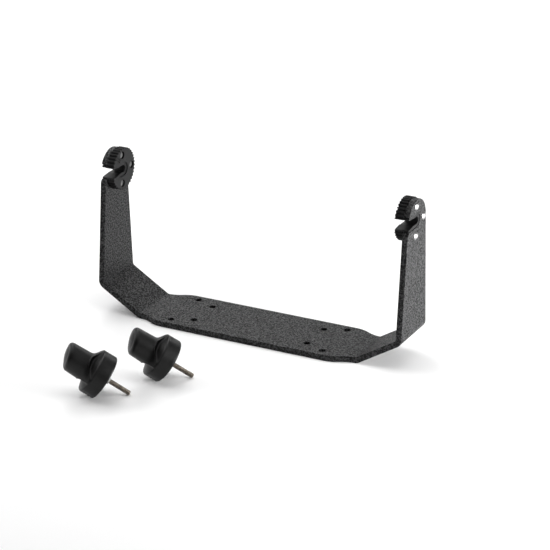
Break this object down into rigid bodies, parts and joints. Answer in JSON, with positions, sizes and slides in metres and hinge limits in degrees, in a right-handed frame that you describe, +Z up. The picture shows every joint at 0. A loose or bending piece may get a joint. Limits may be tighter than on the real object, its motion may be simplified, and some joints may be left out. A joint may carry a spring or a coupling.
{
  "type": "chart plotter bail bracket",
  "caption": "U-shaped tilting mount of bent plate with toothed hook ends, and loose clamp knobs lying beside it.",
  "frame": {"origin": "centre of the base's underside, on the surface that the bracket stands on", "axes": "+X along the base towards the right arm, +Y away from the hook mouths, +Z up along the arms"},
  "size_m": [0.3566, 0.2851, 0.1763],
  "materials": {
    "powder_coat": "black wrinkle powder coat on aluminium plate",
    "index_plastic": "moulded glass-filled nylon, satin",
    "rivet_metal": "bright",
    "soft_grip": "soft-touch moulded cover",
    "core_plastic": "moulded nylon",
    "screw_steel": "rolled stainless thread",
    "bush_plastic": "natural acetal"
  },
  "bodies": {
    "bracket": {"bracket": "powder_coat", "left_index_plate": "index_plastic", "left_rivet_back": "rivet_metal", "left_rivet_top": "rivet_metal", "left_rivet_bottom": "rivet_metal", "right_index_plate": "index_plastic", "right_rivet_back": "rivet_metal", "right_rivet_top": "rivet_metal", "right_rivet_bottom": "rivet_metal"},
    "front_knob_bush": {"front_knob_shoulder_bush": "bush_plastic"},
    "front_knob": {"front_knob_grip_cover": "soft_grip", "front_knob_core": "core_plastic", "front_knob_screw": "screw_steel"},
    "rear_knob_bush": {"rear_knob_shoulder_bush": "bush_plastic"},
    "rear_knob": {"rear_knob_grip_cover": "soft_grip", "rear_knob_core": "core_plastic", "rear_knob_screw": "screw_steel"}
  },
  "joints": [
    {"name": "front_knob_lift", "type": "slide", "parent": "bracket", "child": "front_knob_bush", "axis": [0, 0, 1], "range_m": [0, 0.12]},
    {"name": "front_knob_turn", "type": "hinge", "parent": "front_knob_bush", "child": "front_knob", "pos_m": [-0.0586, -0.2155, 0.0185], "axis": [0.7159, 0.4017, -0.5711], "continuous": true},
    {"name": "rear_knob_lift", "type": "slide", "parent": "bracket", "child": "rear_knob_bush", "axis": [0, 0, 1], "range_m": [0, 0.12]},
    {"name": "rear_knob_turn", "type": "hinge", "parent": "rear_knob_bush", "child": "rear_knob", "pos_m": [-0.0228, -0.1519, 0.0185], "axis": [0.6845, 0.4531, -0.5711], "continuous": true}
  ]
}
